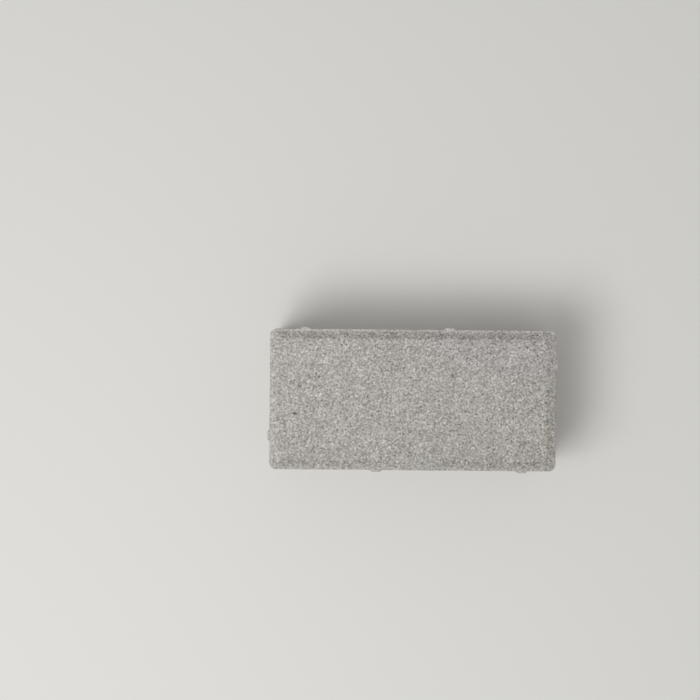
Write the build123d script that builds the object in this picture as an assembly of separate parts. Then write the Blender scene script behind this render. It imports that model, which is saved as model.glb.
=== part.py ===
from build123d import *
import os

# Rectangular concrete paving stone, pressed in one piece in a steel mould.
# Frame: the origin is the middle of the underside, +Z points up to the wearing face,
# +X runs along the stone and +Y across it. Millimetres.

# Laying grid: one stone takes up one module, joint included.
MODULE_LENGTH = 200.0
MODULE_WIDTH = 100.0
JOINT = 3.0
HEIGHT = 80.0

# Upright corners of the mould, seen from above.
CORNER_RADIUS = 5.0

# The pressing shoe is smaller than the mould, so it leaves a flat ledge round its foot.
LEDGE = 1.5
LEDGE_CORNER_RADIUS = 3.5

# Bevel round the wearing face: its width seen from above, and its height.
BEVEL_RUN = 5.0
BEVEL_DROP = 2.9
FACE_CORNER_RADIUS = 2.0
ARRIS_ROUNDING = 3.0

# Spacer nibs: low, wide upright ribs on the sides that hold the joint open.
NIB_REACH = 1.2
NIB_ROOT_WIDTH = 9.2
NIB_TIP_WIDTH = 4.5
NIB_TIP_ROUNDING = 2.0
NIB_ROOT_ROUNDING = 2.0

# Body without its nibs, and the level of the ledge.
LENGTH = MODULE_LENGTH - JOINT
WIDTH = MODULE_WIDTH - JOINT
LEDGE_LEVEL = HEIGHT - BEVEL_DROP

# Nib places along each side, read with that side turned to +Y: three eighths and one eighth
# of the module from the middle of a long side, a quarter of it from the middle of a short
# side. Half a turn brings each side onto the opposite one, so nibs on opposite sides are
# never in line and stand clear of each other across a joint.
LONG_SIDE_NIBS = (-3 * MODULE_LENGTH / 8, MODULE_LENGTH / 8)
SHORT_SIDE_NIBS = (-MODULE_WIDTH / 4,)


def nib_plan(side_distance, along, quarter_turns):
    """Plan of one nib: a tapered tooth on the +Y side, turned to the side that it belongs to."""
    flank = (NIB_ROOT_WIDTH - NIB_TIP_WIDTH) / 2
    tip_half = NIB_TIP_WIDTH / 2
    buried_half = NIB_ROOT_WIDTH / 2 + flank
    tip = side_distance + NIB_REACH
    buried = side_distance - NIB_REACH
    tooth = make_face(
        Polyline(
            (along - buried_half, buried),
            (along - tip_half, tip),
            (along + tip_half, tip),
            (along + buried_half, buried),
            close=True,
        )
    )
    tip_corners = tooth.vertices().group_by(Axis.Y)[-1]
    return Rot(0, 0, 90 * quarter_turns) * fillet(tip_corners, NIB_TIP_ROUNDING)


def stone_plan():
    """Plan of the mould: the body with its rounded corners and its six nibs."""
    plan = Sketch() + RectangleRounded(LENGTH, WIDTH, CORNER_RADIUS)
    for along in LONG_SIDE_NIBS:
        plan += nib_plan(WIDTH / 2, along, 0)
        plan += nib_plan(WIDTH / 2, along, 2)
    for along in SHORT_SIDE_NIBS:
        plan += nib_plan(LENGTH / 2, along, 1)
        plan += nib_plan(LENGTH / 2, along, 3)
    return fillet(nib_roots(plan), NIB_ROOT_ROUNDING)


def nib_roots(plan):
    """The corners of the plan where a nib's flanks leave the sides of the body."""
    half_root = NIB_ROOT_WIDTH / 2
    long_roots = [along + edge for along in LONG_SIDE_NIBS for edge in (-half_root, half_root)]
    short_roots = [along + edge for along in SHORT_SIDE_NIBS for edge in (-half_root, half_root)]
    places = [(turn * x, turn * WIDTH / 2) for turn in (1, -1) for x in long_roots]
    places += [(-turn * LENGTH / 2, turn * y) for turn in (1, -1) for y in short_roots]
    return [plan.vertices().sort_by_distance((x, y, 0))[0] for x, y in places]


def bevelled_top():
    """The raised top: from the ledge's inner edge up the bevel to the flat wearing face."""
    foot = Pos(0, 0, LEDGE_LEVEL) * RectangleRounded(
        LENGTH - 2 * LEDGE, WIDTH - 2 * LEDGE, LEDGE_CORNER_RADIUS
    )
    inset = LEDGE + BEVEL_RUN
    face = Pos(0, 0, HEIGHT) * RectangleRounded(
        LENGTH - 2 * inset, WIDTH - 2 * inset, FACE_CORNER_RADIUS
    )
    top = loft([foot, face], ruled=True)
    arris = top.faces().sort_by(Axis.Z)[-1].edges()
    return fillet(arris, ARRIS_ROUNDING)


def paving_stone():
    """The whole stone as one solid."""
    body = extrude(stone_plan(), LEDGE_LEVEL)
    return body + bevelled_top()


os.makedirs("parts", exist_ok=True)
export_step(paving_stone(), "parts/paving_stone.step")
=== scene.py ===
import math

import bpy
import numpy as np
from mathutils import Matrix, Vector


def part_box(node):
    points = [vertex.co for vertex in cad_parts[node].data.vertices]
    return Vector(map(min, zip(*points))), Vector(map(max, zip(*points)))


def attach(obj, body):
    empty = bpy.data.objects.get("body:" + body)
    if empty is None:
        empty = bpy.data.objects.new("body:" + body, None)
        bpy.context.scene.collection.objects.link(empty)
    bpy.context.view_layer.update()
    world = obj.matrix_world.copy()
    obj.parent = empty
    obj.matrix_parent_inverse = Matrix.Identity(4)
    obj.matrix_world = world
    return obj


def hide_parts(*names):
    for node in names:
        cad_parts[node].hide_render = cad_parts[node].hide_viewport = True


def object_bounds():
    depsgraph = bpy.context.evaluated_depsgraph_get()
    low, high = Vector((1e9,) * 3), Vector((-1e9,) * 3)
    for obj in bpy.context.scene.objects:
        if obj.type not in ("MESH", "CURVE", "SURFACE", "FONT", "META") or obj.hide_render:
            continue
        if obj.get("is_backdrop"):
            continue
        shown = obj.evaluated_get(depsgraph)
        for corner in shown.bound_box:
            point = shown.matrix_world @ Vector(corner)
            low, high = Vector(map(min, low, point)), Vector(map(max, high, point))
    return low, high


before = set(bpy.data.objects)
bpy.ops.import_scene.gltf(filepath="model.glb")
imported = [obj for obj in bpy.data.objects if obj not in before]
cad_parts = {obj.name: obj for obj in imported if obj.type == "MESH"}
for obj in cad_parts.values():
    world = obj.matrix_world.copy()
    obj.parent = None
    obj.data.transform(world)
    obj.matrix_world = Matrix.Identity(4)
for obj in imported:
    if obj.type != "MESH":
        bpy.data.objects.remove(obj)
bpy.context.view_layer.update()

# The stone is one pressing of earth-moist concrete: sharp sand and fine grit in grey cement,
# vibrated in a steel mould under a shoe and pushed out at once. The shoe leaves a sandy flat
# face, its bevel and the ledge outside it, and the mould wall drags the sides as they slide.
NIB_REACH = 0.0012
stone_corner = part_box("paving_stone")[1]
HEIGHT = stone_corner.z
HALF_LENGTH = stone_corner.x - NIB_REACH
HALF_WIDTH = stone_corner.y - NIB_REACH

# Profile from the side inwards: corner, ledge, bevel and the rounded arris of the face.
CORNER_RADIUS = 0.0050
LEDGE = 0.0015
LEDGE_CORNER_RADIUS = 0.0035
BEVEL_RUN = 0.0050
BEVEL_DROP = 0.0029
FACE_CORNER_RADIUS = 0.0020
ARRIS_ROUNDING = 0.0030
LEDGE_LEVEL = HEIGHT - BEVEL_DROP
FACE_INSET = LEDGE + BEVEL_RUN

# How far the side's upper and lower edges are worn back. The middle of a worn edge lies this
# share of it in from both of the faces that meet there.
EDGE_WEAR = 0.0003
WORN_MIDDLE = 0.3

# Nibs, placed along a side that runs counter-clockwise round the stone: three eighths and one
# eighth of the laying module from the middle of a long side, and a quarter on a short side.
JOINT = 0.0030
MODULE_LENGTH = 2 * HALF_LENGTH + JOINT
MODULE_WIDTH = 2 * HALF_WIDTH + JOINT
NIB_ROOT_WIDTH = 0.0092
NIB_TIP_WIDTH = 0.0045
LONG_SIDE_NIBS = (3 * MODULE_LENGTH / 8, -MODULE_LENGTH / 8)
SHORT_SIDE_NIBS = (MODULE_WIDTH / 4,)

# Mesh density: cells along and across the flat field of the face, how far in that field
# starts, and the rows of cells down the arris, the bevel and the side and in under the foot.
CELLS_ALONG = 236
CELLS_ACROSS = 106
FIELD_INSET = 0.0084
ARRIS_ROWS = 3
BEVEL_ROWS = 8
WALL_ROWS = 77
UNDER_ROWS = 5

# How the rings lead over to the square fields: their corner radius where the face's field
# starts, and under the foot the inset at which the corners would come to a point and the one
# at which the nibs are gone.
FIELD_CORNER_RADIUS = 0.6 * FACE_CORNER_RADIUS
UNDER_CORNER_END = 1.2 * FIELD_INSET
UNDER_NIB_END = 2 * NIB_REACH


def ease(value, low, high):
    """Smooth step from 0 at low to 1 at high: three times the part squared less twice its cube."""
    part = np.clip((value - low) / (high - low), 0, 1)
    return part**2 * (3 - 2 * part)


def side_plan(steps, half_along, half_across, radius, nib_share, field_half, nibs):
    """One side of each ring, from the middle of one corner to the middle of the next.

    A point keeps its even place along the flat field and slides outwards with the square of
    that place, so that the last one reaches the middle of the corner's arc. The nibs stand out
    by a smooth step of the distance from each nib's root.
    """
    place = np.linspace(-1, 1, steps, endpoint=False)
    straight = half_along - radius
    reach = straight + radius * np.pi / 4
    run = place * field_half + np.sign(place) * (reach - field_half) * place**2
    turn = np.clip(np.abs(run) - straight, 0, None) / radius
    along = np.sign(run) * (np.minimum(np.abs(run), straight) + radius * np.sin(turn))
    across = half_across - radius * (1 - np.cos(turn))
    flank = (NIB_ROOT_WIDTH - NIB_TIP_WIDTH) / 2
    for nib in nibs:
        from_root = NIB_ROOT_WIDTH / 2 - np.abs(along - nib)
        across = across + nib_share * NIB_REACH * ease(from_root, 0, flank)
    return along, across


def rings(inset, level, radius, nib_share, cells_along, cells_across):
    """Closed rings round the stone, one for each entry of the profile, as rings x points x 3.

    Each ring is the body's outline moved inwards by inset at that level, with its own corner
    radius, and runs counter-clockwise from the corner at the lowest x and y.
    """
    inset, radius, nib_share = (np.asarray(a)[:, None] for a in (inset, radius, nib_share))
    halves = (HALF_LENGTH, HALF_WIDTH)
    parts = []
    for quarter in range(4):
        half_along, half_across = halves if quarter % 2 == 0 else halves[::-1]
        steps = cells_along if quarter % 2 == 0 else cells_across
        nibs = LONG_SIDE_NIBS if quarter % 2 == 0 else SHORT_SIDE_NIBS
        along, across = side_plan(
            steps, half_along - inset, half_across - inset, radius, nib_share,
            half_along - FIELD_INSET, nibs,
        )
        c, s = math.cos(quarter * math.pi / 2), math.sin(quarter * math.pi / 2)
        parts.append(np.stack([along * c + across * s, along * s - across * c], axis=-1))
    plan = np.concatenate(parts, axis=1)
    heights = np.broadcast_to(np.asarray(level)[:, None, None], (*plan.shape[:2], 1))
    return np.concatenate([plan, heights], axis=-1)


def field(level, cells_along, cells_across):
    """Flat field as an even grid of points, its rim in the rings' order, and its quads."""
    x = np.linspace(-1, 1, cells_along + 1) * (HALF_LENGTH - FIELD_INSET)
    y = np.linspace(-1, 1, cells_across + 1) * (HALF_WIDTH - FIELD_INSET)
    points = np.stack([*np.meshgrid(x, y), np.full((len(y), len(x)), level)], axis=-1)
    index = np.arange(len(x) * len(y)).reshape(len(y), len(x))
    rim = np.concatenate([index[0, :-1], index[:-1, -1], index[-1, :0:-1], index[:0:-1, 0]])
    quads = np.stack([index[:-1, :-1], index[:-1, 1:], index[1:, 1:], index[1:, :-1]], axis=-1)
    return points.reshape(-1, 3), rim, quads.reshape(-1, 4)


def band(upper, lower):
    """Quads between two loops of equally many points, each loop given by its indices."""
    return np.stack([lower, np.roll(lower, -1), np.roll(upper, -1), upper], axis=-1)


def halving_band(upper, lower):
    """Triangles between a loop and one with half as many points, three for each of those."""
    start, middle, end = upper[::2], upper[1::2], np.roll(upper, -1)[1::2]
    following = np.roll(lower, -1)
    return np.concatenate([
        np.stack([lower, middle, start], axis=-1),
        np.stack([lower, following, middle], axis=-1),
        np.stack([following, end, middle], axis=-1),
    ])


def profile():
    """Inset and level of each ring, from the face's field out over the arris to the foot.

    The arris is an arc that turns from flat to the bevel's slope, the bevel is straight, and
    the side's upper and lower edges are worn back to a small rounding of two chamfers.
    """
    tilt = math.atan2(BEVEL_DROP, BEVEL_RUN)
    arris = np.linspace(0, tilt, ARRIS_ROWS + 1)
    arris_start = FACE_INSET + ARRIS_ROUNDING * math.tan(tilt / 2)
    arris_inset = arris_start - ARRIS_ROUNDING * np.sin(arris)
    arris_level = HEIGHT - ARRIS_ROUNDING * (1 - np.cos(arris))
    down = np.linspace(0, 1, BEVEL_ROWS + 1)[1:]
    bevel_inset = arris_inset[-1] + (LEDGE - arris_inset[-1]) * down
    bevel_level = arris_level[-1] + (LEDGE_LEVEL - arris_level[-1]) * down
    worn_inset = EDGE_WEAR * np.array([1.0, WORN_MIDDLE, 0.0])
    worn_drop = EDGE_WEAR * np.array([0.0, WORN_MIDDLE, 1.0])
    wall_level = np.linspace(LEDGE_LEVEL - EDGE_WEAR, EDGE_WEAR, WALL_ROWS + 1)[1:-1]
    inset = np.concatenate([
        [(FIELD_INSET + arris_start) / 2], arris_inset, bevel_inset, [LEDGE / 2],
        worn_inset, np.zeros(len(wall_level)), worn_inset[::-1],
    ])
    level = np.concatenate([
        [HEIGHT], arris_level, bevel_level, [LEDGE_LEVEL],
        LEDGE_LEVEL - worn_drop, wall_level, worn_drop[::-1],
    ])
    return inset, level


def stone_form():
    """The true form of the stone, before its relief: points, quads and triangles.

    Rings carry the profile round the stone between the face's field and the underside's,
    whose cells are twice as large.
    """
    inset, level = profile()
    radius = np.interp(
        inset,
        [0, LEDGE, FACE_INSET, FIELD_INSET],
        [CORNER_RADIUS, LEDGE_CORNER_RADIUS, FACE_CORNER_RADIUS, FIELD_CORNER_RADIUS],
    )
    outside = rings(
        inset, level, radius, np.clip(1 - inset / LEDGE, 0, 1), CELLS_ALONG, CELLS_ACROSS
    )
    under_inset = np.linspace(EDGE_WEAR, FIELD_INSET, UNDER_ROWS + 2)[1:-1]
    under = rings(
        under_inset,
        np.zeros(UNDER_ROWS),
        CORNER_RADIUS * (1 - under_inset / UNDER_CORNER_END),
        np.clip(1 - under_inset / UNDER_NIB_END, 0, 1),
        CELLS_ALONG // 2,
        CELLS_ACROSS // 2,
    )
    face, face_rim, face_quads = field(HEIGHT, CELLS_ALONG, CELLS_ACROSS)
    bed, bed_rim, bed_quads = field(0, CELLS_ALONG // 2, CELLS_ACROSS // 2)

    outside_loops = np.arange(outside[..., 0].size).reshape(outside.shape[:2]) + len(face)
    under_first = len(face) + outside_loops.size
    under_loops = np.arange(under[..., 0].size).reshape(under.shape[:2]) + under_first
    bed_first = under_first + under_loops.size
    points = np.concatenate([face, outside.reshape(-1, 3), under.reshape(-1, 3), bed])
    loops = [face_rim, *outside_loops]
    lower_loops = [*under_loops, bed_rim + bed_first]
    quads = np.concatenate([
        face_quads,
        *[band(a, b) for a, b in zip(loops[:-1], loops[1:])],
        *[band(a, b) for a, b in zip(lower_loops[:-1], lower_loops[1:])],
        bed_quads[:, ::-1] + bed_first,
    ])
    return points, quads, halving_band(loops[-1], lower_loops[0])


# The stone's rough skin is sunk into that form, so the stone keeps its size. Within EDGE_TURN
# of an edge it sinks slantwise, so a void that cuts the edge leaves a small chip. Sizes along
# the surface and depths are in metres.
EDGE_TURN = 0.0030

# Sand grains and faint waves all over, as spacing, depth and seed, and drag marks down the
# sides, which are deeper where paste was smeared.
GRAINS = ((0.0017, 0.00020, 21), (0.0012, 0.00013, 22))
WAVES = ((0.014, 0.00006, 23), (0.040, 0.00008, 24))
DRAG_SIZE = np.array([0.0014, 0.0014, 0.035])
DRAG_DEPTH = 0.00016
SMEAR_DRAG_DEPTH = 0.00012

# Patches of paste: spacing of the patches, spacing and share of the lumps that make them
# ragged, and the height of those two together at which a patch starts and at which it is whole.
SIDE_SMEARS = (np.array([0.018, 0.018, 0.050]), 0.006, 0.5, 0.62, 0.95)
BED_PATCHES = (0.009, 0.003, 0.4, 0.5, 0.8)

# How whole the skin of paste is in a smear, in a patch of the underside, on the ledge and this
# far above and below it, and on a nib. The rest of the side has a thinner film of it, which
# only the material shows.
SMEAR_SKIN = 0.75
BED_SKIN = 0.6
LEDGE_SKIN = 0.4
LEDGE_SKIN_REACH = 0.0004
NIB_SKIN = 0.9
SIDE_FILM = 0.45

# Share of the hollows that a whole skin fills, share of the grains that it buries, and share
# of all relief that the mould pressed flat on the tip of a nib.
SKIN_FILLS = 0.9
SKIN_BURIES = 0.6
NIB_FLATTENS = 0.7

# Gaps between the grains: their spacing, the height of the lumps at which one starts and at
# which it is deepest, that depth, and the share of it on the sides. The rims of the gaps and
# of the air voids are made ragged by moving each point a little at random.
GAP_SIZE = 0.0026
GAP_EDGES = (0.62, 1.0)
GAP_DEPTH = 0.0013
GAPS_ON_SIDE = 0.5
RAGGED_SIZE = 0.0017
RAGGED_SHIFT = 0.0009

# Air voids as spacing, smallest and largest radius, the share of places that hold one, and
# the seed. The mould wall draws those of the sides upright.
FACE_VOIDS = (0.0042, 0.0004, 0.0010, 0.30, 31)
SIDE_VOIDS = (0.0040, 0.0004, 0.0016, 0.45, 32)
UNDER_VOIDS = (0.0036, 0.0006, 0.0018, 0.75, 33)
SIDE_VOID_STRETCH = np.array([1, 1, 0.6])
VOID_DEPTH_SHARE = 0.75

# The few larger pits in the face: place along and across, half length, half width and depth.
FACE_PITS = (
    (-0.0803, -0.0100, 0.0014, 0.0009, 0.0013),
    (-0.0819, -0.0098, 0.0019, 0.0008, 0.0005),
    (0.0270, 0.0170, 0.0010, 0.0017, 0.0009),
    (-0.0774, 0.0094, 0.0017, 0.0011, 0.0008),
)


def outward(points):
    """Unit direction out of the stone at each point.

    It points away from a box that lies EDGE_TURN inside the sides, the foot and the ledge, so
    it is square to each of them and turns gradually round the edges between them.
    """
    half = np.array([HALF_LENGTH, HALF_WIDTH, LEDGE_LEVEL / 2])
    offset = points - [0, 0, LEDGE_LEVEL / 2]
    beyond = np.clip(np.abs(offset) - (half - EDGE_TURN), 0, None) * np.sign(offset)
    return beyond / np.linalg.norm(beyond, axis=1, keepdims=True)


def nib_height(points):
    """How far out on a nib a point lies, from 0 on the side itself to 1 at the nib's tip."""
    along = np.abs(points[:, 0]) - HALF_LENGTH
    across = np.abs(points[:, 1]) - HALF_WIDTH
    return np.clip(np.maximum(along, across) / NIB_REACH, 0, 1)


def lumps(points, size, seed):
    """Smooth random field from 0 to 1: random values on a lattice, eased between its corners.

    size is the lattice spacing in metres, one value or one for each axis. The easing is six
    times the fifth power of the part, less fifteen times the fourth, plus ten times the third.
    """
    place = points / size
    place = place - np.floor(place.min(axis=0))
    cell = np.floor(place).astype(int)
    part = place - cell
    part = part**3 * (part * (part * 6 - 15) + 10)
    values = np.random.default_rng(seed).random(cell.max(axis=0) + 2)
    total = np.zeros(len(points))
    for corner in np.ndindex(2, 2, 2):
        share = np.prod(np.where(corner, part, 1 - part), axis=1)
        total += share * values[tuple((cell + corner).T)]
    return total


def patches(points, size, edge_size, edge_share, start, whole, seed):
    """Patches from 0 outside to 1 inside: coarse lumps plus a share of finer ones, eased."""
    raised = lumps(points, size, seed) + edge_share * lumps(points, edge_size, seed + 1)
    return ease(raised, start, whole)


def voids(points, spacing, smallest, largest, share, seed):
    """Depth of the air voids that the surface cuts, in metres.

    Each cubic cell of that spacing may hold one sphere of random place and radius. A point
    inside a sphere sinks by the square root of radius squared less distance squared, which is
    a round bowl as wide as the cut.
    """
    random = np.random.default_rng(seed)
    place = points / spacing
    cell = np.floor(place).astype(int)
    first = cell.min(axis=0) - 1
    shape = cell.max(axis=0) - first + 2
    centre = random.random((*shape, 3))
    radius = random.uniform(smallest, largest, shape) * (random.random(shape) < share)
    depth = np.zeros(len(points))
    for step in np.ndindex(3, 3, 3):
        near = cell + np.array(step) - 1
        slot = tuple((near - first).T)
        distance = np.linalg.norm((near + centre[slot]) * spacing - points, axis=1)
        depth = np.maximum(depth, np.sqrt(np.clip(radius[slot] ** 2 - distance**2, 0, None)))
    return depth


def face_pits(points):
    """Depth of the larger pits in the face, in metres.

    Each is its own depth times e to minus the fourth power of the distance from its middle,
    and that distance counts in its half length and half width.
    """
    depth = np.zeros(len(points))
    for x, y, half_length, half_width, deepest in FACE_PITS:
        radius_squared = ((points[:, 0] - x) / half_length) ** 2
        radius_squared += ((points[:, 1] - y) / half_width) ** 2
        depth = np.maximum(depth, deepest * np.exp(-(radius_squared**2)))
    return depth


def relief(points, direction):
    """How far each point sinks inwards, how hollow it is, and how much paste covers it.

    Paste makes a skin on the ledge and on the nibs, in tall patches where the mould wall
    smeared the sides, and in small patches on the underside, where it stood on its pallet. It
    fills most of the voids and gaps there, buries the grains, and shows drag marks best. The
    depths of grains, waves, drag marks and hollows add up.
    """
    top = np.clip(direction[:, 2], 0, 1) ** 2
    under = np.clip(-direction[:, 2], 0, 1) ** 2
    side = 1 - top - under
    nib = nib_height(points)
    ledge = np.exp(-(((points[:, 2] - LEDGE_LEVEL) / LEDGE_SKIN_REACH) ** 2))
    smear = patches(points, *SIDE_SMEARS, seed=14) * side
    bed_patch = patches(points, *BED_PATCHES, seed=16) * under
    skin = np.maximum.reduce(
        [LEDGE_SKIN * ledge, SMEAR_SKIN * smear + BED_SKIN * bed_patch, NIB_SKIN * nib]
    )

    shifts = [lumps(points, RAGGED_SIZE, seed) - 0.5 for seed in (11, 12, 13)]
    ragged = points + RAGGED_SHIFT * np.stack(shifts, axis=1)
    air = (
        voids(ragged, *FACE_VOIDS) * top
        + voids(ragged * SIDE_VOID_STRETCH, *SIDE_VOIDS) * side
        + voids(ragged, *UNDER_VOIDS) * under
    )
    gaps = ease(lumps(ragged, GAP_SIZE, seed=26), *GAP_EDGES) * (GAPS_ON_SIDE * side + under)
    hollow = (VOID_DEPTH_SHARE * air + GAP_DEPTH * gaps) * (1 - SKIN_FILLS * skin)
    hollow += face_pits(points) * top

    grain = sum(depth * lumps(points, size, seed) for size, depth, seed in GRAINS)
    wave = sum(depth * lumps(points, size, seed) for size, depth, seed in WAVES)
    drag = (DRAG_DEPTH + SMEAR_DRAG_DEPTH * smear) * lumps(points, DRAG_SIZE, seed=25) * side
    sunk = grain * (1 - SKIN_BURIES * skin) + wave + drag + hollow
    return sunk * (1 - NIB_FLATTENS * nib), hollow, np.maximum(skin, SIDE_FILM * side**2)


# Faint tone round the face, as shares and as insets from the side. A darker band sets in before
# the arris and ends past it, and painted shade lies on the bevels of the two long sides, from just
# below the face to just above the ledge and up to the mitre of each corner. The foot of every
# bevel is lighter.
ARRIS_DARKENING = 0.3
ARRIS_DARKENING_STARTS = (0.0042, 0.0065)
ARRIS_DARKENING_ENDS = (0.0062, 0.0094)
BEVEL_PAINTED_SHADE = 0.7
BELOW_FACE = (0.00001, 0.00025)
ABOVE_LEDGE = 0.0004
MITRE_BLEND = 0.001
FOOT_LIGHTENING = 0.25
FOOT_LIGHTENING_ENDS = (0.0025, 0.0050)

# Painted shade of the right end, the end away from the lamp: it sets in between these insets,
# covers the ledge, and fades out down the side over this drop. Most of it is left off the nib.
END_PAINTED_SHADE_STARTS = (0.0020, 0.0010)
END_PAINTED_SHADE_DROP = 0.0020
NIB_SHADE_LEFT_OFF = 0.7


def painted_shade_and_edge_bands(points):
    """Share of the painted shade and edge bands at each point, below 0 where the stone is lighter.

    Each zone is a smooth step, or two multiplied, of the inset from the sides and the level.
    """
    end_inset = HALF_LENGTH - np.abs(points[:, 0])
    side_inset = HALF_WIDTH - np.abs(points[:, 1])
    inset = np.minimum(end_inset, side_inset)
    arris = ease(inset, *ARRIS_DARKENING_STARTS) * (1 - ease(inset, *ARRIS_DARKENING_ENDS))
    foot = 1 - ease(inset, *FOOT_LIGHTENING_ENDS)
    long_side = ease(end_inset - side_inset, -MITRE_BLEND, MITRE_BLEND)
    below_face = ease(HEIGHT - points[:, 2], *BELOW_FACE)
    above_ledge = ease(points[:, 2], LEDGE_LEVEL, LEDGE_LEVEL + ABOVE_LEDGE)
    # Painted shade on the bevels of the long sides, less the lighter band at the foot of every
    # bevel.
    bevel = below_face * (BEVEL_PAINTED_SHADE * long_side - FOOT_LIGHTENING * foot)
    # Painted shade over the right end's ledge, mostly left off the nib.
    right_end = ease(HALF_LENGTH - points[:, 0], *END_PAINTED_SHADE_STARTS)
    right_end *= ease(points[:, 2], LEDGE_LEVEL - END_PAINTED_SHADE_DROP, LEDGE_LEVEL)
    top = above_ledge * (ARRIS_DARKENING * arris + bevel)
    return top + right_end * (1 - NIB_SHADE_LEFT_OFF * nib_height(points))


# The stone's mesh. Each point also keeps what the concrete's colour needs to know of it.
points, quads, triangles = stone_form()
# Painted shade on the long bevels and at the right end, with a darker band at the arris and a
# lighter one at the bevel's foot.
shade_and_edge_bands = painted_shade_and_edge_bands(points)
direction = outward(points)
sunk, hollow, skin = relief(points, direction)
points = points - direction * sunk[:, None]

mesh = bpy.data.meshes.new("pressed_stone")
mesh.from_pydata(points, [], [*quads.tolist(), *triangles.tolist()])
mesh.shade_smooth()
for name, values in (("hollow", hollow), ("skin", skin), ("shade_and_edge_bands", shade_and_edge_bands)):
    attribute = mesh.attributes.new(name, "FLOAT", "POINT")
    attribute.data.foreach_set("value", values.astype(np.float32))
stone = bpy.data.objects.new("pressed_stone", mesh)
bpy.context.scene.collection.objects.link(stone)


def linear(hex_colour):
    """An sRGB hex colour as linear red, green, blue and alpha."""
    levels = [int(hex_colour[i:i + 2], 16) / 255 for i in (1, 3, 5)]
    return [v / 12.92 if v <= 0.04045 else ((v + 0.055) / 1.055) ** 2.4 for v in levels] + [1]


def add(tree, kind, inputs=None, **settings):
    """Adds a node with its settings and returns it.

    inputs gives each input a value, an output socket, or a node, which stands for its first
    output.
    """
    node = tree.nodes.new(kind)
    for name, value in settings.items():
        setattr(node, name, value)
    for name, value in (inputs or {}).items():
        if isinstance(value, bpy.types.Node):
            value = value.outputs[0]
        if isinstance(value, bpy.types.NodeSocket):
            tree.links.new(value, node.inputs[name])
        else:
            node.inputs[name].default_value = value
    return node


# Pressed semi-dry concrete, Portland cement and sharp sand: dull, no sheen, warm grey. Every
# grain of sand has its own tone, so the eye sees an even salt-and-pepper of about a grain's
# size, with a few dark and a few white grains, pinholes between them, and only faint clouds
# of warmer and cooler grey. Where paste was drawn over the grains it is lighter and evener.
WARM_GREY = "#B0ACA7"
ROUGHNESS = 0.92
IOR = 1.5

# Spacing of each kind of grain, lump or streak. The fine sand is really about half as wide,
# and is drawn this coarse to show in a picture of the whole stone. A whole number of the
# paste's lumps fits in half the height, so that the face cuts their pattern where it is most
# even. The streaks are drawn out along the height.
SAND = 0.0011
FINE_SAND = 0.0005
GRIT = 0.0024
PINHOLE = 0.0021
LUMPS_IN_HEIGHT = 56
PASTE_LUMP = HEIGHT / LUMPS_IN_HEIGHT
CLUSTER = 0.0065
CLOUD = 0.012
STREAK = 0.0015
STREAK_STRETCH = (1, 1, 0.04)

# Radius at which a spot's tone starts to fade and at which it ends, and the share of places
# that hold a spot. Below them, the share of the sand grains that are dark and white.
GRIT_RADIUS = (0.00062, 0.00082)
GRIT_SHARE = 0.3
PINHOLE_RADIUS = (0.00010, 0.00034)
PINHOLE_SHARE = 0.5
DARK_SHARE = 0.05
WHITE_SHARE = 0.03

# How much lighter or darker each makes the stone, as a share of its own tone. A hollow has
# its full shade from this depth on, and the drift is for each metre along, across and up.
SAND_TONE = 0.232
FINE_SAND_TONE = 0.145
GRIT_TONE = 0.24
PASTE_TONE = 0.435
CLUSTER_TONE = 0.10
CLOUD_TONE = 0.07
STREAK_TONE = 0.16
DARK_GRAIN = -0.25
WHITE_GRAIN = 0.16
PINHOLE_SHADE = -0.36
HOLLOW_SHADE = -0.32
HOLLOW_DEPTH = 0.0012
# The painted shade and the edge bands darken the stone by this share.
SHADE_AND_EDGE_BAND_TONE = -0.08
SKIN_LIGHT = 0.06
SKIN_EVENNESS = 0.60
TONE_DRIFT = (-0.15, 0.26, 0)

# Relief too fine for the mesh, in metres from a grain's rim to its middle, and the share of
# it that still shows through a whole skin.
SAND_BUMP = 0.00013
FINE_SAND_BUMP = 0.00005
GRIT_BUMP = 0.00008
PINHOLE_BUMP = -0.00022
BUMP_UNDER_SKIN = 0.4

concrete = bpy.data.materials.new("pressed_concrete")
concrete.use_nodes = True
tree = concrete.node_tree
tree.nodes.clear()
coordinates = add(tree, "ShaderNodeTexCoord")
place = add(
    tree, "ShaderNodeMapping",
    {"Vector": coordinates.outputs["Object"], "Location": (0, 0, -HEIGHT / 2)},
)
# The third attribute holds the painted shade and the bands at the arris and the bevel's foot.
skin_share, hollow_depth, shade_and_edge_bands_share = (
    add(tree, "ShaderNodeAttribute", attribute_name=name).outputs["Fac"]
    for name in ("skin", "hollow", "shade_and_edge_bands")
)

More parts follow.
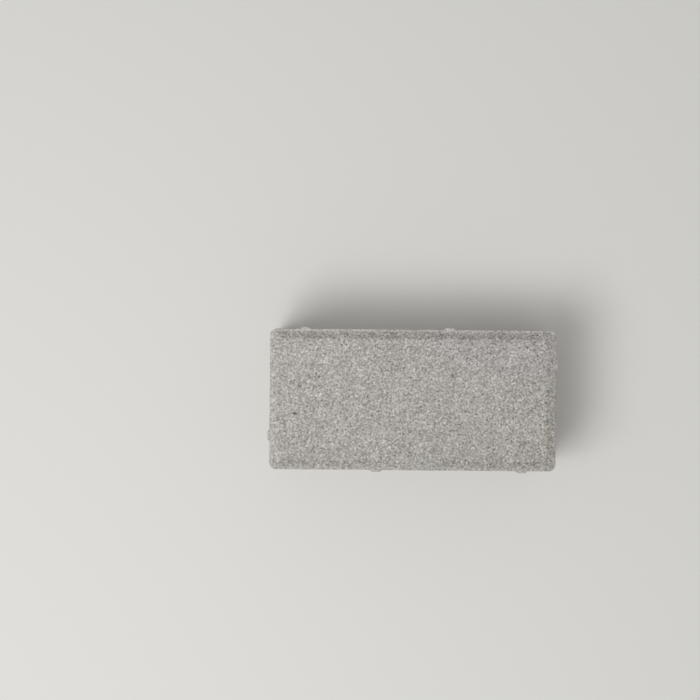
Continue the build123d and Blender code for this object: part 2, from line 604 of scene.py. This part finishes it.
# Sand and paste among the grains. The channels of a cell's colour are random values of its
# own: red is the grain's tone, green picks the few dark grains and blue the white ones. Each
# texture runs from 0 to 1, so the sum of the tones starts half of them lower.
grains = -(SAND_TONE + FINE_SAND_TONE + PASTE_TONE) / 2
height = 0.0
own_values = {}
for size, tone, bump in (
    (SAND, SAND_TONE, SAND_BUMP), (FINE_SAND, FINE_SAND_TONE, FINE_SAND_BUMP)
):
    cell = add(tree, "ShaderNodeTexVoronoi", {"Vector": place, "Scale": 1 / size})
    own = add(tree, "ShaderNodeSeparateColor", {"Color": cell.outputs["Color"]})
    own_values[size] = own
    grains = add(tree, "ShaderNodeMath", {0: own, 1: tone, 2: grains}, operation="MULTIPLY_ADD")
    height = add(tree, "ShaderNodeMath", {0: cell, 1: -bump, 2: height}, operation="MULTIPLY_ADD")
for output, low, high, at_low, at_high in (
    ("Green", 0.0, DARK_SHARE, DARK_GRAIN, 0.0),
    ("Blue", 1.0 - WHITE_SHARE, 1.0, 0.0, WHITE_GRAIN),
):
    odd = add(
        tree, "ShaderNodeMapRange",
        {
            "Value": own_values[SAND].outputs[output],
            "From Min": low, "From Max": high, "To Min": at_low, "To Max": at_high,
        },
        interpolation_type="SMOOTHSTEP",
    )
    grains = add(tree, "ShaderNodeMath", {0: grains, 1: odd}, operation="ADD")
paste = add(tree, "ShaderNodeTexNoise", {"Vector": place, "Scale": 1 / PASTE_LUMP, "Detail": 0.0})
grains = add(
    tree, "ShaderNodeMath", {0: paste, 1: PASTE_TONE, 2: grains}, operation="MULTIPLY_ADD"
)

# Grit and pinholes: a round spot in some of their places, which green picks. Each grain of
# grit has its own tone, which is red again.
spots = {}
for size, radius, share, bump in (
    (GRIT, GRIT_RADIUS, GRIT_SHARE, GRIT_BUMP),
    (PINHOLE, PINHOLE_RADIUS, PINHOLE_SHARE, PINHOLE_BUMP),
):
    cell = add(tree, "ShaderNodeTexVoronoi", {"Vector": place, "Scale": 1 / size})
    own = add(tree, "ShaderNodeSeparateColor", {"Color": cell.outputs["Color"]})
    own_values[size] = own
    disc = add(
        tree, "ShaderNodeMapRange",
        {
            "Value": cell, "From Min": radius[0] / size, "From Max": radius[1] / size,
            "To Min": 1.0, "To Max": 0.0,
        },
        interpolation_type="SMOOTHSTEP",
    )
    chosen = add(
        tree, "ShaderNodeMath", {0: own.outputs["Green"], 1: share}, operation="LESS_THAN"
    )
    spots[size] = add(tree, "ShaderNodeMath", {0: disc, 1: chosen}, operation="MULTIPLY")
    height = add(
        tree, "ShaderNodeMath", {0: spots[size], 1: bump, 2: height}, operation="MULTIPLY_ADD"
    )
grit_tone = add(
    tree, "ShaderNodeMath", {0: own_values[GRIT], 1: GRIT_TONE, 2: -GRIT_TONE / 2},
    operation="MULTIPLY_ADD",
)
for spot, tone in ((spots[GRIT], grit_tone), (spots[PINHOLE], PINHOLE_SHADE)):
    grains = add(
        tree, "ShaderNodeMath", {0: spot, 1: tone, 2: grains}, operation="MULTIPLY_ADD"
    )

# What else moves the tone: clusters of grains, clouds and a slow drift over the stone, the
# skin of paste, which evens the grains out and shows faint upright streaks, painted shade and
# bands along the edges of the face, and the shade inside hollows.
brightness = 1 - (CLUSTER_TONE + CLOUD_TONE) / 2
for size, tone in ((CLUSTER, CLUSTER_TONE), (CLOUD, CLOUD_TONE)):
    mottle = add(tree, "ShaderNodeTexNoise", {"Vector": place, "Scale": 1 / size, "Detail": 0.0})
    brightness = add(
        tree, "ShaderNodeMath", {0: mottle, 1: tone, 2: brightness}, operation="MULTIPLY_ADD"
    )
drift = add(tree, "ShaderNodeVectorMath", {0: place, 1: TONE_DRIFT}, operation="DOT_PRODUCT")
evenness = add(
    tree, "ShaderNodeMath", {0: skin_share, 1: -SKIN_EVENNESS, 2: 1.0}, operation="MULTIPLY_ADD"
)
upright = add(tree, "ShaderNodeMapping", {"Vector": place, "Scale": STREAK_STRETCH})
streak = add(tree, "ShaderNodeTexNoise", {"Vector": upright, "Scale": 1 / STREAK, "Detail": 0.0})
skin_tone = add(
    tree, "ShaderNodeMath", {0: streak, 1: STREAK_TONE, 2: SKIN_LIGHT - STREAK_TONE / 2},
    operation="MULTIPLY_ADD",
)
shadow = add(
    tree, "ShaderNodeMapRange",
    {"Value": hollow_depth, "From Max": HOLLOW_DEPTH, "To Max": HOLLOW_SHADE},
    interpolation_type="SMOOTHSTEP",
)
for value, share in (
    (drift.outputs["Value"], 1.0), (grains, evenness), (skin_tone, skin_share),
    (shade_and_edge_bands_share, SHADE_AND_EDGE_BAND_TONE), (shadow, 1.0),
):
    brightness = add(
        tree, "ShaderNodeMath", {0: value, 1: share, 2: brightness}, operation="MULTIPLY_ADD"
    )

# Tint: warm grey, with a cloud of lilac grey over the far right corner and a trace of algae
# at two places on the bevel. Each is a colour, a place measured from the stone's middle, how
# far it reaches along, across and up, and its share. It fades over the outer part of that
# reach, and a noise makes its edge wander.
TINTS = (
    ("#B0ABA9", (HALF_LENGTH, HALF_WIDTH, HEIGHT / 2), (0.100, 0.036, 0.060), 0.85),
    ("#AAACA2", (0.011, -0.046, HEIGHT / 2), (0.013, 0.009, 0.010), 0.25),
    ("#ACAA9E", (0.095, -0.023, HEIGHT / 2), (0.008, 0.014, 0.010), 0.32),
)
TINT_FADES = (0.8, 1.0)
TINT_EDGE = 0.020
TINT_WANDER = 0.4
wander = add(tree, "ShaderNodeTexNoise", {"Vector": place, "Scale": 1 / TINT_EDGE, "Detail": 0.0})
tint = linear(WARM_GREY)
for hex_colour, middle, reach, share in TINTS:
    scale = [1 / r for r in reach]
    shrunk = add(tree, "ShaderNodeMapping", {"Vector": place, "Scale": scale})
    from_middle = add(
        tree, "ShaderNodeVectorMath", {0: shrunk, 1: [m * s for m, s in zip(middle, scale)]},
        operation="DISTANCE",
    )
    edge = add(
        tree, "ShaderNodeMath", {0: wander, 1: TINT_WANDER, 2: from_middle.outputs["Value"]},
        operation="MULTIPLY_ADD",
    )
    mask = add(
        tree, "ShaderNodeMapRange",
        {
            "Value": edge, "From Min": TINT_FADES[0] + TINT_WANDER / 2,
            "From Max": TINT_FADES[1] + TINT_WANDER / 2, "To Min": share, "To Max": 0.0,
        },
        interpolation_type="SMOOTHSTEP",
    )
    # Sockets 6 and 7 of this node are its two colours.
    tint = add(
        tree, "ShaderNodeMix", {0: mask, 6: tint, 7: linear(hex_colour)}, data_type="RGBA"
    ).outputs[2]

# Brightness is a share on the eye's scale, so its power scales the light.
EYE_POWER = 2.2
lightness = add(tree, "ShaderNodeMath", {0: brightness, 1: EYE_POWER}, operation="POWER")
colour = add(tree, "ShaderNodeVectorMath", {0: tint, "Scale": lightness}, operation="SCALE")

softened = add(
    tree, "ShaderNodeMath", {0: skin_share, 1: BUMP_UNDER_SKIN - 1, 2: 1.0},
    operation="MULTIPLY_ADD",
)
# The heights are in metres, so the bump's own distance is 1.
bumps = add(tree, "ShaderNodeMath", {0: height, 1: softened}, operation="MULTIPLY")
normal = add(tree, "ShaderNodeBump", {"Height": bumps, "Distance": 1.0})
surface = add(
    tree, "ShaderNodeBsdfPrincipled",
    {"Base Color": colour, "Roughness": ROUGHNESS, "IOR": IOR, "Normal": normal},
)
add(tree, "ShaderNodeOutputMaterial", {"Surface": surface})
mesh.materials.append(concrete)

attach(stone, "root")
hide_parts("paving_stone")

# The floor is a plain pale board with matt paint, wide enough to fill every view. The stone
# lies on it on its underside, as it is stored.
FLOOR_HALF = 4.0
FLOOR_GREY = "#E4E3E0"
FLOOR_ROUGHNESS = 0.9
floor_mesh = bpy.data.meshes.new("floor")
floor_mesh.from_pydata(
    [(x * FLOOR_HALF, y * FLOOR_HALF, 0) for x, y in ((-1, -1), (1, -1), (1, 1), (-1, 1))],
    [], [(0, 1, 2, 3)],
)
floor = bpy.data.objects.new("floor", floor_mesh)
bpy.context.scene.collection.objects.link(floor)
floor_paint = bpy.data.materials.new("matt_floor_paint")
floor_paint.use_nodes = True
floor_surface = floor_paint.node_tree.nodes["Principled BSDF"]
floor_surface.inputs["Base Color"].default_value = linear(FLOOR_GREY)
floor_surface.inputs["Roughness"].default_value = FLOOR_ROUGHNESS
floor_mesh.materials.append(floor_paint)
floor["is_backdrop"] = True

# Light: an even pale sky and one large soft lamp above, a little to the left and near side.
# Together they light an upward face so that a colour renders about as it is written. The
# camera and gloss see the sky at full strength.
SKY_WHITE = "#F2F2F0"
SKY_STRENGTH = 0.50
LAMP_PLACE = (-0.64, -0.46, 1.5)
LAMP_SIZE = 0.8
LAMP_WATTS = 14.0

world = bpy.data.worlds.new("pale_sky")
bpy.context.scene.world = world
world.use_nodes = True
sky = world.node_tree
sky.nodes.clear()
ray = add(sky, "ShaderNodeLightPath")
seen = add(
    sky, "ShaderNodeMath",
    {0: ray.outputs["Is Camera Ray"], 1: ray.outputs["Is Glossy Ray"]}, operation="MAXIMUM",
)
strength = add(
    sky, "ShaderNodeMapRange", {"Value": seen, "To Min": SKY_STRENGTH, "To Max": 1.0}
)
background = add(
    sky, "ShaderNodeBackground", {"Color": linear(SKY_WHITE), "Strength": strength}
)
add(sky, "ShaderNodeOutputWorld", {"Surface": background})

lamp_data = bpy.data.lights.new("soft_lamp", "AREA")
lamp_data.size = LAMP_SIZE
lamp_data.energy = LAMP_WATTS
lamp = bpy.data.objects.new("soft_lamp", lamp_data)
lamp.location = LAMP_PLACE
lamp.rotation_euler = (-lamp.location).to_track_quat("-Z", "Y").to_euler()
bpy.context.scene.collection.objects.link(lamp)

# The camera looks straight down, at the photograph's scale on the level of the ledge. The
# stone's middle is at STONE_PIXEL, counted from the picture's upper left corner, and the
# camera is turned by STONE_TURN against the stone.
IMAGE_PIXELS = 700
PIXELS_PER_METRE = 1457
STONE_PIXEL = (412.8, 400.0)
STONE_TURN = math.radians(0.5)
LENS = 85.0
SENSOR = 36.0

camera_data = bpy.data.cameras.new("camera")
camera_data.lens = LENS
camera_data.sensor_width = SENSOR
camera = bpy.data.objects.new("camera", camera_data)
right = (STONE_PIXEL[0] - IMAGE_PIXELS / 2) / PIXELS_PER_METRE
above = (IMAGE_PIXELS / 2 - STONE_PIXEL[1]) / PIXELS_PER_METRE
camera_height = IMAGE_PIXELS / PIXELS_PER_METRE * LENS / SENSOR
camera.rotation_euler = (0, 0, STONE_TURN)
camera.location = (
    above * math.sin(STONE_TURN) - right * math.cos(STONE_TURN),
    -right * math.sin(STONE_TURN) - above * math.cos(STONE_TURN),
    LEDGE_LEVEL + camera_height,
)
bpy.context.scene.collection.objects.link(camera)
bpy.context.scene.camera = camera
bpy.context.scene.view_settings.view_transform = "Standard"

low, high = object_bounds()
